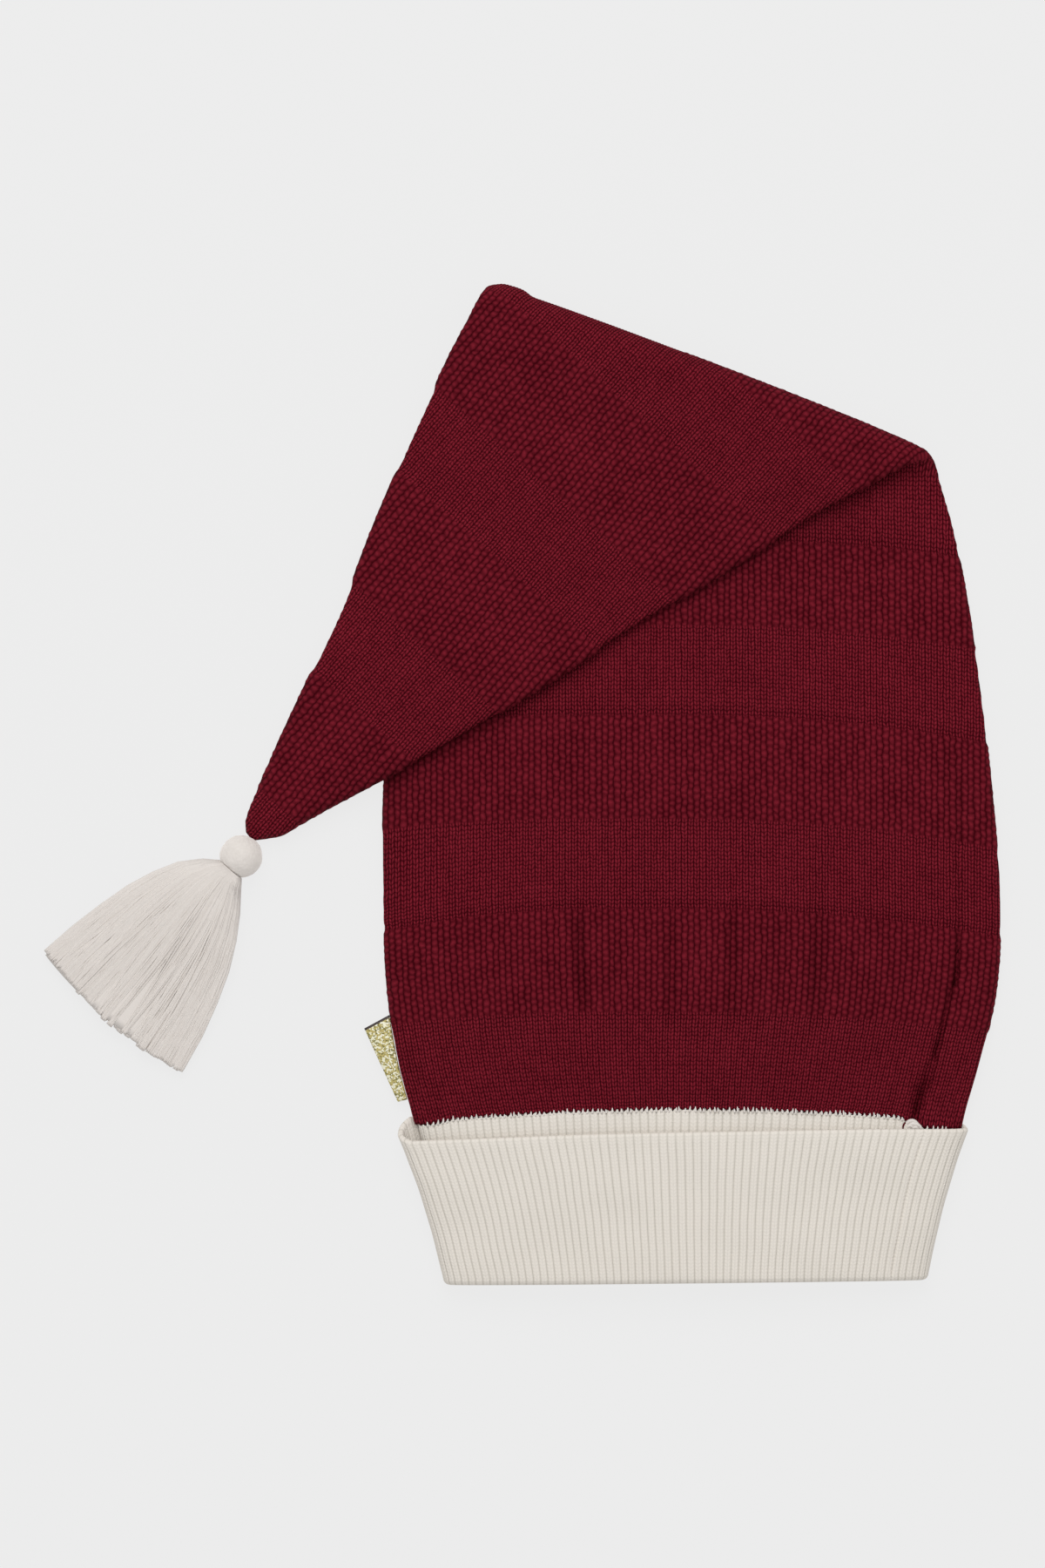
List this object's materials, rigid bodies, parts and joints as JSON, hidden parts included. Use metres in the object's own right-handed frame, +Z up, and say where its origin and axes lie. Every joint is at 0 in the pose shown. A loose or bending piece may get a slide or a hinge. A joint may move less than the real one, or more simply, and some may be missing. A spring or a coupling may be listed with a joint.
{
  "type": "knitted santa hat",
  "caption": "Knitted santa hat lying flat: a hollow banded crown whose long peak folds over the front, with a turned-up ribbed cuff and a ball and tassel at the tip.",
  "frame": {"origin": "on the surface that the hat lies on, under the middle of the hat's bounding box", "axes": "+Z up off the surface, +Y from the cuff's mouth towards the fold of the peak, +X to the right as seen from above"},
  "size_m": [0.398, 0.4114, 0.0245],
  "materials": {
    "red_knit": "matt wool and cotton knit, dark burgundy red",
    "cream_rib": "matt ribbed knit, warm cream",
    "gold_weave": "glittering woven gold thread",
    "cream_felt": "matt wound yarn, cream",
    "cream_yarn": "soft cut yarn, cream"
  },
  "bodies": {
    "root": {"crown": "red_knit", "cuff": "cream_rib", "label": "gold_weave", "tassel_ball": "cream_felt", "tassel_skirt": "cream_yarn"}
  },
  "joints": []
}
